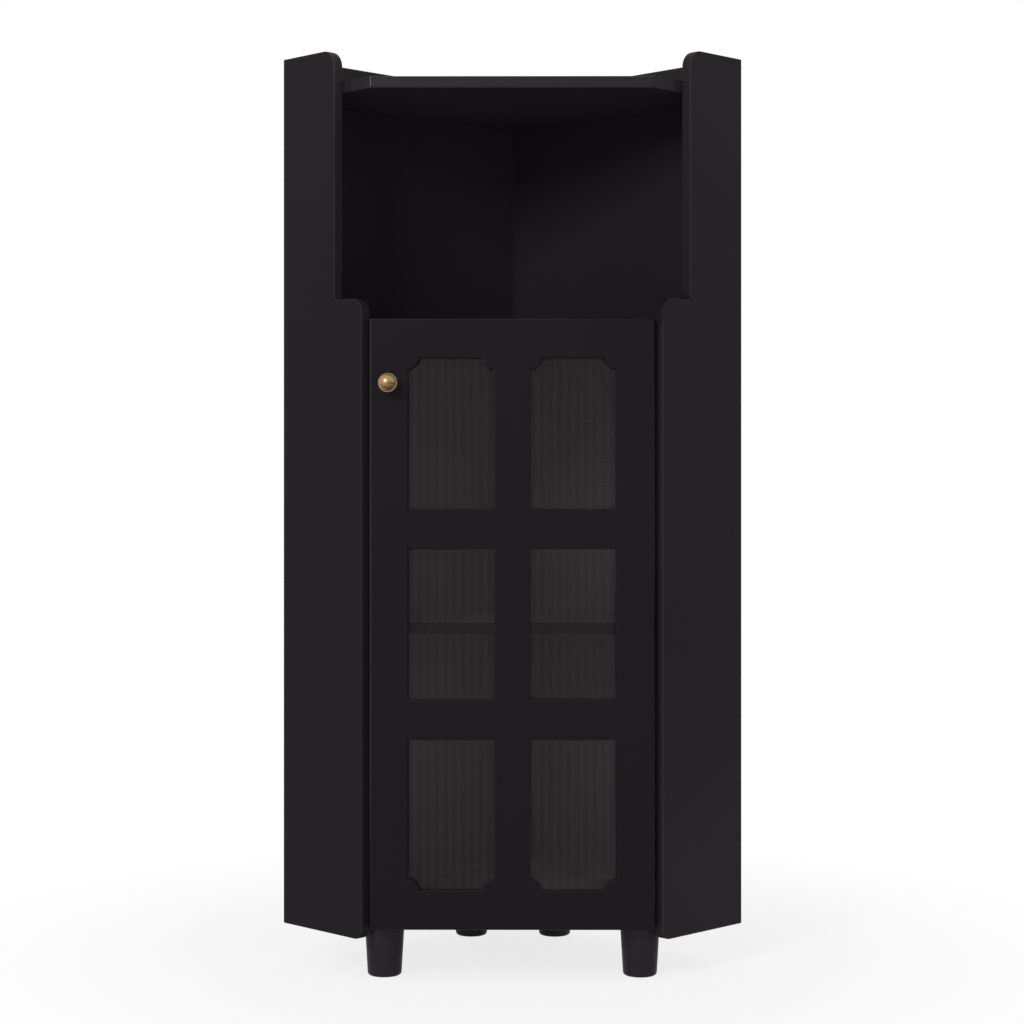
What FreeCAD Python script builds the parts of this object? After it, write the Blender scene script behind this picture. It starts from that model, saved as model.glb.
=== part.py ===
"""Corner display cabinet: an open niche over a glazed cupboard, on four short legs.

Millimetres, +Z up. The front faces -Y and the room corner lies at +Y.
The origin is on the floor, below the middle of the box that holds the cabinet.
"""
import FreeCAD, Part
import math
import os

Vec = FreeCAD.Vector
UP = Vec(0, 0, 1)
RIGHT = Vec(1, 0, 0)
BACK = Vec(0, 1, 0)
ROOT2 = math.sqrt(2)
SAME_PLACE = 0.1

# Carcass sizes
overall_width = 600.0
front_width = 360.0
panel_height = 1133.0
panel_lift = 53.0
panel_t = 15.0
back_t = 12.0
board_t = 15.0
apron_drop = 14.5
gallery_height = 39.0
edge_ease = 2.0

# Shape of the side panels' front edge
upper_setback = 53.0
ledge_above_door = 27.0
top_corner_r = 21.5
ledge_nose_r = 19.0
ledge_root_r = 6.5
foot_corner_r = 14.0

# Cupboard boards and shelf
board_setback = 2.0
shelf_setback = 12.0
shelf_gap = 1.0
shelf_lift = 371.0

# Door
door_height = 770.7
door_t = 15.0
door_gap = 1.5
door_side_gap = 0.5
door_above_floor_board = 2.0
stile_w = 49.0
mullion_w = 47.0
end_rail_w = 50.0
mid_rail_w = 51.0
pane_rows = 3
pane_columns = 2
notch_r = 14.0
pane_ease = 2.5
lip_t = 7.0
lip_overlap = 9.0

# Glass and its beads
glass_t = 4.0
glass_gap = 1.0
reed_pitch = 11.0
reed_depth = 0.9
bead_w = 8.0
bead_pin_d = 1.4
bead_pin_bite = 6.0
bead_pin_pitch = 190.0
bead_pin_end = 55.0

# Knob
knob_d = 24.2
knob_neck_d = 11.0
knob_neck = 6.77
knob_from_edge = 23.5
knob_below_top = 81.2
knob_screw_d = 4.0
knob_screw_bite = 10.0
knob_screw_head_d = 8.0
knob_screw_head = 2.5

# Pivot hinges
hinge_inset = 7.5
hinge_pin_d = 4.0
hinge_pin_bite = 12.0
running_clearance = 0.05
hinge_plate_t = 2.5
hinge_arm_w = 8.0
hinge_leaf_w = 38.0
hinge_leaf_depth = 24.0
hinge_washer_d = 8.0
hinge_washer_t = 0.8
hinge_slack = 0.4
hinge_float = 0.1
door_opening_angle = 95.0
hinge_screw_d = 3.0
hinge_screw_head_d = 6.0
hinge_screw_bite = 9.0
hinge_screw_spacing = 22.0

# Magnetic catch and bumpers
catch_w = 40.0
catch_depth = 14.0
catch_h = 12.0
catch_from_edge = 18.0
catch_gap = 0.3
magnet_w = 24.0
magnet_depth = 8.0
magnet_h = 5.0
strike_w = 30.0
strike_h = 11.0
strike_t = 1.2
small_screw_d = 3.0
small_screw_head_d = 5.5
small_screw_head = 1.5
small_screw_bite = 9.0
bumper_d = 8.0
bumper_from_edge = 10.0

# Legs
leg_top_d = 51.0
leg_foot_d = 43.2
leg_foot_r = 4.0
leg_front_inset = 9.5
leg_side_inset = 10.8
leg_wall_gap = 2.7
rear_leg_half_spacing = 58.0
leg_bolt_d = 8.0
leg_bolt_bite = 28.0
insert_d = 11.0
insert_depth = 12.0
glide_d = 22.0
glide_t = 3.0
glide_proud = 0.4

# Joinery
dowel_d = 8.0
dowel_skin = 6.0
dowel_bite = 20.0
dowel_from_back = 10.0
dowel_from_front = 12.0
cam_d = 15.0
cam_depth = 12.0
cam_from_edge = 24.0
cam_slot_w = 1.4
cam_slot_length = 10.0
cam_slot_depth = 2.0
cam_bolt_d = 6.0
cam_bolt_head_d = 7.0
cam_bolt_head = 5.0
back_dowel_d = 6.0
back_screw_d = 4.0
back_screw_head_d = 8.0
back_screw_bite = 32.0
back_screw_end = 80.0
low_fixing_share = 0.2
high_fixing_share = 0.6
shelf_pin_d = 5.0
shelf_pin_skin = 5.0
shelf_pin_reach = 9.0
shelf_pin_from_front = 28.0
shelf_pin_collar_d = 8.0
back_pin_from_corner = 150.0

# Values that follow from the sizes above
wall_side = overall_width / ROOT2
inner_side = wall_side - panel_t
side_length = inner_side - front_width / ROOT2
front_to_corner = (inner_side + side_length) / ROOT2
knob_r = knob_d / 2
knob_neck_r = knob_neck_d / 2
knob_seat_depth = math.sqrt(knob_r ** 2 - knob_neck_r ** 2)
knob_reach = door_gap + door_t + knob_neck + knob_seat_depth + knob_r
front_y = (knob_reach - front_to_corner) / 2
corner_y = front_y + front_to_corner

leg_height = panel_lift + apron_drop
panel_top = panel_lift + panel_height
bottom_board_z = leg_height
door_z = leg_height
door_top = door_z + door_height
niche_floor_z = door_top - door_above_floor_board - board_t
top_board_z = panel_top - gallery_height - board_t
shelf_z = bottom_board_z + shelf_lift
ledge_z = door_top + ledge_above_door

door_w = front_width - 2 * door_side_gap
door_back_y = front_y - door_gap
door_front_y = door_back_y - door_t
lip_back_y = door_front_y + lip_t
glass_back_y = lip_back_y + glass_t
pane_w = (door_w - 2 * stile_w - (pane_columns - 1) * mullion_w) / pane_columns
pane_h = (door_height - 2 * end_rail_w - (pane_rows - 1) * mid_rail_w) / pane_rows
rebate_x = door_w / 2 - stile_w + lip_overlap
rebate_z0 = door_z + end_rail_w - lip_overlap
rebate_z1 = door_top - end_rail_w + lip_overlap

hinge_x = door_w / 2 - hinge_inset
hinge_y = door_back_y - hinge_inset
hinge_bore_r = hinge_pin_d / 2 + running_clearance


# Shape helpers
def box(low, high):
    size = Vec(*high) - Vec(*low)
    return Part.makeBox(size.x, size.y, size.z, Vec(*low))


def rod(start, direction, diameter, length):
    return Part.makeCylinder(diameter / 2, length, start, direction)


def prism(points, bottom, height):
    corners = [Vec(x, y, bottom) for x, y in points]
    return Part.Face(Part.makePolygon(corners + corners[:1])).extrude(UP * height)


def to_room(shape):
    """Turns a shape drawn along the two walls, with the room corner at 0, 0, into the cabinet's frame."""
    turned = shape.copy()
    turned.rotate(Vec(0, 0, 0), UP, -45)
    turned.translate(Vec(0, corner_y, 0))
    return turned


def mirrored(shape):
    return shape.mirror(Vec(0, 0, 0), RIGHT)


def both_sides(shapes):
    return shapes + [mirrored(shape) for shape in shapes]


def drilled(host, *groups):
    """Cuts fasteners' own shapes out of the piece that holds them."""
    cut = host.cut([solid for group in groups for solid in group])
    if len(cut.Solids) != 1:
        raise ValueError("a piece fell apart when it was drilled")
    return cut.Solids[0]


def eased(shape, radius, wanted):
    return shape.makeFillet(radius, [edge for edge in shape.Edges if wanted(edge)])


def screw(seat, direction, diameter, head_d, head, bite):
    """A countersunk screw: its flat head ends at seat, and it runs along direction."""
    cone = Part.makeCone(head_d / 2, diameter / 2, head, seat, direction)
    return cone.fuse(rod(seat + direction * head, direction, diameter, bite)).removeSplitter().Solids[0]


def export(name, *solids):
    shape = solids[0] if len(solids) == 1 else Part.makeCompound(list(solids))
    if not shape.isValid():
        raise ValueError(name + " is not a sound shape")
    shape.exportStep("parts/" + name + ".step")


# Side panels, drawn as the left one with p along it from the wall and q across it
def side_panel():
    foot, top = panel_lift, panel_top
    front, upper = side_length, side_length - upper_setback

    def line(p0, z0, p1, z1):
        return Part.LineSegment(Vec(p0, 0, z0), Vec(p1, 0, z1)).toShape()

    def arc(centre_p, centre_z, radius, start, end):
        angles = (start, (start + end) / 2, end)
        points = [Vec(centre_p + radius * math.cos(math.radians(angle)), 0,
                      centre_z + radius * math.sin(math.radians(angle))) for angle in angles]
        return Part.Arc(*points).toShape()

    profile = [
        line(0, foot, front - foot_corner_r, foot),
        arc(front - foot_corner_r, foot + foot_corner_r, foot_corner_r, -90, 0),
        line(front, foot + foot_corner_r, front, ledge_z - ledge_nose_r),
        arc(front - ledge_nose_r, ledge_z - ledge_nose_r, ledge_nose_r, 0, 90),
        line(front - ledge_nose_r, ledge_z, upper + ledge_root_r, ledge_z),
        arc(upper + ledge_root_r, ledge_z + ledge_root_r, ledge_root_r, 270, 180),
        line(upper, ledge_z + ledge_root_r, upper, top - top_corner_r),
        arc(upper - top_corner_r, top - top_corner_r, top_corner_r, 0, 90),
        line(upper - top_corner_r, top, 0, top),
        line(0, top, 0, foot),
    ]
    blank = Part.Face(Part.Wire(profile)).extrude(BACK * panel_t)

    def front_arris(edge):
        limits = edge.BoundBox
        return limits.YLength < panel_t / 2 and limits.XMax > edge_ease

    panel = eased(blank, edge_ease, front_arris)
    panel.translate(Vec(0, -wall_side, 0))
    return to_room(panel)


# Back panels: the right one runs into the corner and the left one butts against it
def back_panels():
    left = box((0, -inner_side, panel_lift), (back_t, -back_t, panel_top))
    right = box((0, -back_t, panel_lift), (inner_side, 0, panel_top))

    def top_arris(along_x):
        def wanted(edge):
            limits = edge.BoundBox
            length = limits.XLength if along_x else limits.YLength
            return limits.ZMin > panel_top - SAME_PLACE and length > back_t + SAME_PLACE
        return wanted

    left, right = eased(left, edge_ease, top_arris(False)), eased(right, edge_ease, top_arris(True))
    return to_room(left), to_room(right)


# Five-sided boards that fill the corner between the panels
def board(bottom, setback, gap, free_corners=False):
    side = inner_side - gap
    near = side_length + gap - setback * ROOT2
    rear = back_t + gap
    outline = [(rear, -rear), (side, -rear), (side, -near), (near, -side), (rear, -side)]
    blank = to_room(prism(outline, bottom, board_t))
    front_edge_y = front_y + setback

    def front_arris(edge):
        limits = edge.BoundBox
        upright = free_corners and limits.ZLength > board_t / 2
        return limits.YMax < front_edge_y + SAME_PLACE and (upright or limits.XLength > front_width / 2)

    return eased(blank, edge_ease, front_arris)


# Dowels and cam fittings along one board's left edge, within the side panel's length at that height
def edge_places(level):
    panel_length = side_length if level < ledge_z else side_length - upper_setback
    first = back_t + dowel_from_back
    last = panel_length - dowel_from_front
    return first, (first + last) / 2, last


def board_dowels(bottom):
    first, _, last = edge_places(bottom)
    length = panel_t - dowel_skin + dowel_bite
    starts = [Vec(p, -wall_side + dowel_skin, bottom + board_t / 2) for p in (first, last)]
    return [to_room(rod(start, BACK, dowel_d, length)) for start in starts]


def cam_fitting(bottom, cam_on_top):
    _, middle, _ = edge_places(bottom)
    bolt_z = bottom + board_t / 2
    centre_q = -inner_side + cam_from_edge
    shank = cam_from_edge - cam_bolt_head / 2 + panel_t - dowel_skin
    start = Vec(middle, -wall_side + dowel_skin, bolt_z)
    head_start = start + BACK * shank
    bolt = rod(start, BACK, cam_bolt_d, shank).fuse(rod(head_start, BACK, cam_bolt_head_d, cam_bolt_head))
    bolt = bolt.removeSplitter().Solids[0]
    face_z, inward = (bottom + board_t, -1) if cam_on_top else (bottom, 1)
    disc = rod(Vec(middle, centre_q, face_z), UP * inward, cam_d, cam_depth)
    slot_z = sorted((face_z, face_z + inward * cam_slot_depth))
    slot = box((middle - cam_slot_length / 2, centre_q - cam_slot_w / 2, slot_z[0]),
               (middle + cam_slot_length / 2, centre_q + cam_slot_w / 2, slot_z[1]))
    seat = rod(Vec(middle, centre_q, face_z), UP * inward, cam_d, cam_depth)
    disc = drilled(disc, [slot, bolt])
    return to_room(bolt), to_room(disc), to_room(seat)


# Dowels from a back panel's end into the side panel, and screws at the room corner
def upright_places():
    gap_low = bottom_board_z + board_t
    span = niche_floor_z - gap_low
    niche = top_board_z - niche_floor_z
    return gap_low + span * low_fixing_share, gap_low + span * high_fixing_share, niche_floor_z + niche / 2


def back_dowels():
    length = panel_t - dowel_skin + dowel_bite
    starts = [Vec(back_t / 2, -wall_side + dowel_skin, z) for z in upright_places()]
    return [to_room(rod(start, BACK, back_dowel_d, length)) for start in starts]


def back_screw(seat, direction):
    head = (back_screw_head_d - back_screw_d) / 2
    bite = back_t - head + back_screw_bite
    return to_room(screw(seat, direction, back_screw_d, back_screw_head_d, head, bite))


def corner_screws():
    return [back_screw(Vec(back_t / 2, 0, z), -BACK) for z in upright_places()]


def board_screws(bottom):
    last = inner_side - back_screw_end
    places = (back_screw_end, (back_screw_end + last) / 2, last)
    return [back_screw(Vec(0, -along, bottom + board_t / 2), RIGHT) for along in places]


# Shelf pins: one in each side panel and one in each back panel
def shelf_pin(wall_point, inward, depth):
    start = wall_point - inward * depth
    pin = rod(start, inward, shelf_pin_d, depth + shelf_pin_reach)
    collar = rod(wall_point, inward, shelf_pin_collar_d, shelf_gap / 2)
    return to_room(pin.fuse(collar).removeSplitter().Solids[0])


def shelf_pins():
    pin_z = shelf_z - shelf_pin_d / 2
    side_pin = Vec(side_length - shelf_setback * ROOT2 - shelf_pin_from_front, -inner_side, pin_z)
    back_pin = Vec(back_t, -back_pin_from_corner, pin_z)
    return [shelf_pin(side_pin, BACK, panel_t - shelf_pin_skin),
            shelf_pin(back_pin, RIGHT, back_t - shelf_pin_skin)]


# Legs
def leg_places():
    half = leg_top_d / 2
    front_leg_y = front_y + half + leg_front_inset
    from_front = half + leg_front_inset
    front_leg_x = front_width / 2 + from_front - ROOT2 * (half + leg_side_inset)
    rear_leg_y = corner_y - ROOT2 * (back_t + half + leg_wall_gap) - rear_leg_half_spacing
    return {
        "front_left_leg": Vec(-front_leg_x, front_leg_y, 0),
        "front_right_leg": Vec(front_leg_x, front_leg_y, 0),
        "rear_left_leg": Vec(-rear_leg_half_spacing, rear_leg_y, 0),
        "rear_right_leg": Vec(rear_leg_half_spacing, rear_leg_y, 0),
    }


def leg(place):
    top_r, foot_r = leg_top_d / 2, leg_foot_d / 2
    turned = Part.makeCone(foot_r, top_r, leg_height - glide_proud, place + UP * glide_proud, UP)

    def foot_arris(edge):
        return edge.BoundBox.ZMax < leg_height / 2

    return eased(turned, leg_foot_r, foot_arris)


def leg_hardware(place):
    insert = rod(place + UP * leg_height, UP, insert_d, insert_depth)
    bolt_length = leg_bolt_bite + insert_depth
    bolt = rod(place + UP * (leg_height - leg_bolt_bite), UP, leg_bolt_d, bolt_length)
    glide = rod(place, UP, glide_d, glide_t)
    return bolt, drilled(insert, [bolt]), glide


# Door frame: one board with a window grid at the front and one wide rebate for the glass behind
def window(left, bottom, notched_corners):
    """A window's through-cut. Each notched corner keeps a quarter disc of the frame."""
    right, top = left + pane_w, bottom + pane_h
    hole = box((left, door_front_y, bottom), (right, lip_back_y, top))
    corners = {"top": [(left, top), (right, top)], "bottom": [(left, bottom), (right, bottom)]}
    notches = corners.get(notched_corners, [])
    keep = [rod(Vec(x, door_front_y, z), BACK, 2 * notch_r, lip_t) for x, z in notches]
    return hole.cut(keep).Solids[0] if keep else hole


def windows():
    holes = []
    for row in range(pane_rows):
        notched = {0: "bottom", pane_rows - 1: "top"}.get(row, "none")
        bottom = door_z + end_rail_w + row * (pane_h + mid_rail_w)
        for column in range(pane_columns):
            left = -door_w / 2 + stile_w + column * (pane_w + mullion_w)
            holes.append(window(left, bottom, notched))
    return holes


def door_blank():
    slab = box((-door_w / 2, door_front_y, door_z), (door_w / 2, door_back_y, door_top))

    def outer_arris(edge):
        limits = edge.BoundBox
        on_front = limits.YMax < door_front_y + SAME_PLACE
        upright = limits.ZLength > door_height / 2
        return on_front or upright

    slab = eased(slab, edge_ease, outer_arris)
    rebate = box((-rebate_x, lip_back_y, rebate_z0), (rebate_x, door_back_y, rebate_z1))
    frame = drilled(slab, windows() + [rebate])

    def window_arris(edge):
        limits = edge.BoundBox
        inside = max(abs(limits.XMin), abs(limits.XMax)) < rebate_x
        return inside and limits.YMax < door_front_y + SAME_PLACE

    return eased(frame, pane_ease, window_arris)


def fluted_glass():
    half = rebate_x - glass_gap
    low, high = rebate_z0 + glass_gap, rebate_z1 - glass_gap
    count = round(2 * half / reed_pitch)
    width = 2 * half / count
    root_y = lip_back_y + reed_depth
    edges = []
    for index in range(count):
        start = half - index * width
        crown = Vec(start - width / 2, lip_back_y, low)
        edges.append(Part.Arc(Vec(start, root_y, low), crown, Vec(start - width, root_y, low)).toShape())
    plan = [(-half, root_y), (-half, glass_back_y), (half, glass_back_y), (half, root_y)]
    outline = [Vec(x, y, low) for x, y in plan]
    edges += [Part.LineSegment(a, b).toShape() for a, b in zip(outline, outline[1:])]
    return Part.Face(Part.Wire(edges)).extrude(UP * (high - low))


def glass_beads():
    inner_x = rebate_x - bead_w

    def bead(x0, x1, z0, z1):
        return box((x0, glass_back_y, z0), (x1, door_back_y, z1))

    return {
        "glass_bead_left": bead(-rebate_x, -inner_x, rebate_z0, rebate_z1),
        "glass_bead_right": bead(inner_x, rebate_x, rebate_z0, rebate_z1),
        "glass_bead_top": bead(-inner_x, inner_x, rebate_z1 - bead_w, rebate_z1),
        "glass_bead_bottom": bead(-inner_x, inner_x, rebate_z0, rebate_z0 + bead_w),
    }


def spread(low, high):
    """Even places for the pins of one bead, with the end pins held back from its ends."""
    first, last = low + bead_pin_end, high - bead_pin_end
    steps = max(1, round((last - first) / bead_pin_pitch))
    return [first + (last - first) * index / steps for index in range(steps + 1)]


def bead_pins():
    pin_y = (glass_back_y + door_back_y) / 2
    inner_x, length = rebate_x - bead_w, bead_w + bead_pin_bite
    left = [rod(Vec(-inner_x, pin_y, z), -RIGHT, bead_pin_d, length) for z in spread(rebate_z0, rebate_z1)]
    across = spread(-inner_x, inner_x)
    top = [rod(Vec(x, pin_y, rebate_z1 - bead_w), UP, bead_pin_d, length) for x in across]
    bottom = [rod(Vec(x, pin_y, rebate_z0 + bead_w), -UP, bead_pin_d, length) for x in across]
    return both_sides(left) + top + bottom


# Knob and its screw
def knob():
    x, z = -door_w / 2 + knob_from_edge, door_top - knob_below_top
    centre = Vec(x, door_front_y - knob_neck - knob_seat_depth, z)
    neck_length = knob_neck + knob_seat_depth
    neck = rod(Vec(x, door_front_y, z), -BACK, knob_neck_d, neck_length)
    ball = Part.makeSphere(knob_r, centre, -BACK)
    shank = rod(Vec(x, door_back_y, z), -BACK, knob_screw_d, door_t + knob_screw_bite)
    head = rod(Vec(x, door_back_y, z), BACK, knob_screw_head_d, knob_screw_head)
    fixing = shank.fuse(head).removeSplitter().Solids[0]
    return drilled(neck.fuse(ball).removeSplitter(), [fixing]), fixing


# Pivot hinges: a flat plate on the cupboard's ceiling and floor, whose arm reaches into a pocket in the door
class Hinge:
    def __init__(self, board_face_z, inward, door_end_z):
        """board_face_z is the face that carries the plate, and inward points away from that board."""
        plate_ends = (board_face_z, board_face_z + inward * hinge_plate_t)
        self.low, self.high = min(plate_ends), max(plate_ends)
        self.face_z, self.inward, self.door_end_z = board_face_z, inward, door_end_z
        self.washer_top = self.high + hinge_washer_t

    def plate(self):
        leaf_y = front_y + board_setback + hinge_slack
        leaf_x1 = hinge_x + hinge_arm_w / 2
        leaf = box((leaf_x1 - hinge_leaf_w, leaf_y, self.low),
                   (leaf_x1, leaf_y + hinge_leaf_depth, self.high))
        arm = box((hinge_x - hinge_arm_w / 2, hinge_y, self.low), (leaf_x1, leaf_y, self.high))
        eye = rod(Vec(hinge_x, hinge_y, self.low), UP, hinge_arm_w, hinge_plate_t)
        bore = rod(Vec(hinge_x, hinge_y, self.low), UP, 2 * hinge_bore_r, hinge_plate_t)
        blank = leaf.fuse([arm, eye]).removeSplitter()
        return drilled(blank, [bore], self.screws())

    def screws(self):
        middle_x = hinge_x + hinge_arm_w / 2 - hinge_leaf_w / 2
        middle_y = front_y + board_setback + hinge_slack + hinge_leaf_depth / 2
        seat_z = self.face_z + self.inward * hinge_plate_t
        head = (hinge_screw_head_d - hinge_screw_d) / 2
        bite = hinge_plate_t - head + hinge_screw_bite
        places = [Vec(middle_x + side * hinge_screw_spacing / 2, middle_y, seat_z) for side in (-1, 1)]
        into_board = UP * -self.inward
        return [screw(place, into_board, hinge_screw_d, hinge_screw_head_d, head, bite) for place in places]

    def washer(self):
        ring = rod(Vec(hinge_x, hinge_y, self.high), UP, hinge_washer_d, hinge_washer_t)
        return ring.cut(rod(Vec(hinge_x, hinge_y, self.high), UP, 2 * hinge_bore_r, hinge_washer_t)).Solids[0]

    def pocket(self):
        """Room in the door's back corner for the arm, from the closed door to the open one."""
        reach = hinge_arm_w / 2 + hinge_slack
        past_square = math.radians(door_opening_angle - 90)
        open_reach = hinge_inset * math.tan(past_square) + reach / math.cos(past_square)
        return box((hinge_x - reach, hinge_y - open_reach, self.low - hinge_slack),
                   (door_w / 2, door_back_y, self.washer_top + hinge_float))

    def pin(self):
        far_end = self.low - hinge_pin_bite if self.inward < 0 else self.washer_top + hinge_pin_bite
        low, high = sorted((self.door_end_z, far_end))
        return rod(Vec(hinge_x, hinge_y, low), UP, hinge_pin_d, high - low)


# Magnetic catch under the niche floor, and its strike on the door
def catch():
    top = niche_floor_z
    left = -door_w / 2 + catch_from_edge
    front = door_back_y + strike_t + catch_gap
    middle_x, middle_z = left + catch_w / 2, top - catch_h / 2
    magnet = box((middle_x - magnet_w / 2, front, middle_z - magnet_h / 2),
                 (middle_x + magnet_w / 2, front + magnet_depth, middle_z + magnet_h / 2))
    ear = (catch_w - magnet_w) / 4
    screw_y = front + board_setback + catch_depth / 2
    head = (small_screw_head_d - small_screw_d) / 2
    seats = [Vec(middle_x + side * (catch_w / 2 - ear), screw_y, top - catch_h) for side in (-1, 1)]
    screws = [screw(seat, UP, small_screw_d, small_screw_head_d, head, catch_h - head + small_screw_bite)
              for seat in seats]
    housing = box((left, front, top - catch_h), (left + catch_w, front + board_setback + catch_depth, top))
    return drilled(housing, [magnet], screws), magnet, screws


def strike():
    middle_x = -door_w / 2 + catch_from_edge + catch_w / 2
    middle_z = niche_floor_z - catch_h / 2
    plate = box((middle_x - strike_w / 2, door_back_y, middle_z - strike_h / 2),
                (middle_x + strike_w / 2, door_back_y + strike_t, middle_z + strike_h / 2))
    seat = Vec(middle_x, door_back_y + strike_t, middle_z)
    head = min(small_screw_head, strike_t)
    fixing = screw(seat, -BACK, small_screw_d, small_screw_head_d, head, strike_t - head + small_screw_bite)
    return drilled(plate, [fixing]), fixing


def bumpers():
    x = -door_w / 2 + bumper_from_edge
    length = door_gap + board_setback - catch_gap
    heights = (bottom_board_z + board_t / 2, niche_floor_z + board_t / 2)
    return [rod(Vec(x, door_back_y, z), BACK, bumper_d, length) for z in heights]


def build():
    os.makedirs("parts", exist_ok=True)
    fixed_boards = {"bottom_board": (bottom_board_z, board_setback, False),
                    "niche_floor": (niche_floor_z, board_setback, False),
                    "top_board": (top_board_z, 0.0, True)}
    levels = [level for level, _, _ in fixed_boards.values()]

    # Fasteners of the carcass, each with its own shape
    fittings = {name: cam_fitting(level, on_top) for name, (level, _, on_top) in fixed_boards.items()}
    cam_bolts = both_sides([bolt for bolt, _, _ in fittings.values()])
    cam_discs = both_sides([disc for _, disc, _ in fittings.values()])
    cam_seats = both_sides([seat for _, _, seat in fittings.values()])
    dowels = both_sides([dowel for level in levels for dowel in board_dowels(level)])
    panel_dowels = both_sides(back_dowels())
    panel_screws = both_sides([one for level in levels for one in board_screws(level)]) + corner_screws()
    pins = both_sides(shelf_pins())
    places = leg_places()
    hardware = [leg_hardware(place) for place in places.values()]
    leg_bolts, leg_inserts, glides = (list(group) for group in zip(*hardware))
    hinges = {"upper": Hinge(niche_floor_z, -1, door_top),
              "lower": Hinge(bottom_board_z + board_t, 1, door_z)}
    hinge_screws = [one for hinge in hinges.values() for one in hinge.screws()]
    housing, magnet, catch_screws = catch()

    # Panels and boards
    left_panel = side_panel()
    export("left_side_panel", drilled(left_panel, dowels, cam_bolts, panel_dowels, pins))
    export("right_side_panel", drilled(mirrored(left_panel), dowels, cam_bolts, panel_dowels, pins))
    left_back, right_back = back_panels()
    export("left_back_panel", drilled(left_back, panel_screws, panel_dowels, pins))
    export("right_back_panel", drilled(right_back, panel_screws, panel_dowels, pins))
    for name, (level, setback, _) in fixed_boards.items():
        blank = board(level, setback, 0.0, free_corners=name == "top_board")
        export(name, drilled(blank, cam_bolts, cam_seats, dowels, panel_screws, leg_inserts, leg_bolts,
                             hinge_screws, catch_screws))
    export("cupboard_shelf", board(shelf_z, shelf_setback, shelf_gap))

    # Legs
    for name, place in places.items():
        export(name, drilled(leg(place), leg_bolts, glides))
    export("leg_bolts", *leg_bolts)
    export("leg_inserts", *leg_inserts)
    export("leg_glides", *glides)

    # Joinery
    export("board_dowels", *dowels)
    export("back_panel_dowels", *panel_dowels)
    export("back_panel_screws", *panel_screws)
    export("cam_bolts", *cam_bolts)
    export("cam_discs", *cam_discs)
    export("shelf_pins", *pins)

    # Hinges and catch on the carcass
    for name, hinge in hinges.items():
        export(name + "_hinge_plate", hinge.plate())
        export(name + "_hinge_washer", hinge.washer())
    export("hinge_screws", *hinge_screws)
    export("catch_housing", housing)
    export("catch_magnet", magnet)
    export("catch_screws", *catch_screws)

    # Door
    hinge_pins = {name: hinge.pin() for name, hinge in hinges.items()}
    knob_ball, knob_screw = knob()
    strike_plate, strike_screw = strike()
    nails = bead_pins()
    pockets = [hinge.pocket() for hinge in hinges.values()]
    held = list(hinge_pins.values()) + [knob_screw, strike_screw]
    export("door_frame", drilled(door_blank(), pockets, nails, held))
    export("fluted_glass", fluted_glass())
    for name, bead in glass_beads().items():
        export(name, drilled(bead, nails))
    export("glass_bead_pins", *nails)
    export("knob", knob_ball)
    export("knob_screw", knob_screw)
    for name, pin in hinge_pins.items():
        export(name + "_hinge_pin", pin)
    export("strike_plate", strike_plate)
    export("strike_screw", strike_screw)
    export("door_bumpers", *bumpers())


build()
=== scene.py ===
import math

import bmesh
import bpy
from mathutils import Matrix, Vector


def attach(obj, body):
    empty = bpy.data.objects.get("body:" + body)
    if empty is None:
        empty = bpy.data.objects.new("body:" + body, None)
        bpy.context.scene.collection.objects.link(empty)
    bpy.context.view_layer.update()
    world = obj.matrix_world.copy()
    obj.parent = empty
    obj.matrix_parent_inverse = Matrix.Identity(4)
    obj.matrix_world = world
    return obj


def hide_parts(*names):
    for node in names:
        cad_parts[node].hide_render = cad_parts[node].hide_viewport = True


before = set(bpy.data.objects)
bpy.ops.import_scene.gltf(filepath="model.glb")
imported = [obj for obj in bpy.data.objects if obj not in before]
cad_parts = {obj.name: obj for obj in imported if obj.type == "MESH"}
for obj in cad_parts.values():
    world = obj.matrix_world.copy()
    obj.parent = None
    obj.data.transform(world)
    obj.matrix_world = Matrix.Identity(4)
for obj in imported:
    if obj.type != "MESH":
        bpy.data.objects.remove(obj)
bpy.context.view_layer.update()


# Side panels: two upright sides of 15 mm fibreboard, routed to a stepped front edge with rounded arrises.
# They are sprayed with a satin black lacquer, which leaves a faint orange peel, and are held to the boards
# by dowels and cam bolts, so nothing shows outside.
def blank_finish(name):
    """A new material and its one Principled shader."""
    material = bpy.data.materials.new(name)
    material.use_nodes = True
    return material, material.node_tree, material.node_tree.nodes["Principled BSDF"]


def new_effect(name, takes, gives):
    """An empty node group with named sockets, for an effect that several finishes share."""
    group = bpy.data.node_groups.new(name, "ShaderNodeTree")
    for socket, kind, value in takes:
        group.interface.new_socket(socket, in_out="INPUT", socket_type=kind).default_value = value
    for socket, kind in gives:
        group.interface.new_socket(socket, in_out="OUTPUT", socket_type=kind)
    return group, group.nodes.new("NodeGroupInput"), group.nodes.new("NodeGroupOutput")


def noise_in(tree, coordinates, scale, detail):
    """Soft random spots, with more of them to the metre as scale grows."""
    noise = tree.nodes.new("ShaderNodeTexNoise")
    noise.inputs["Scale"].default_value = scale
    noise.inputs["Detail"].default_value = detail
    tree.links.new(coordinates, noise.inputs["Vector"])
    return noise.outputs["Fac"]


def worked_out(tree, operation, *terms):
    """The result of a sum whose terms are numbers or other nodes' outputs."""
    node = tree.nodes.new("ShaderNodeMath")
    node.operation = operation
    for term, socket in zip(terms, node.inputs):
        if isinstance(term, (int, float)):
            socket.default_value = term
        else:
            tree.links.new(term, socket)
    return node.outputs[0]


def both(tree, first, second):
    """Two masks together, or a mask and a share of it."""
    return worked_out(tree, "MULTIPLY", first, second)


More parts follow.
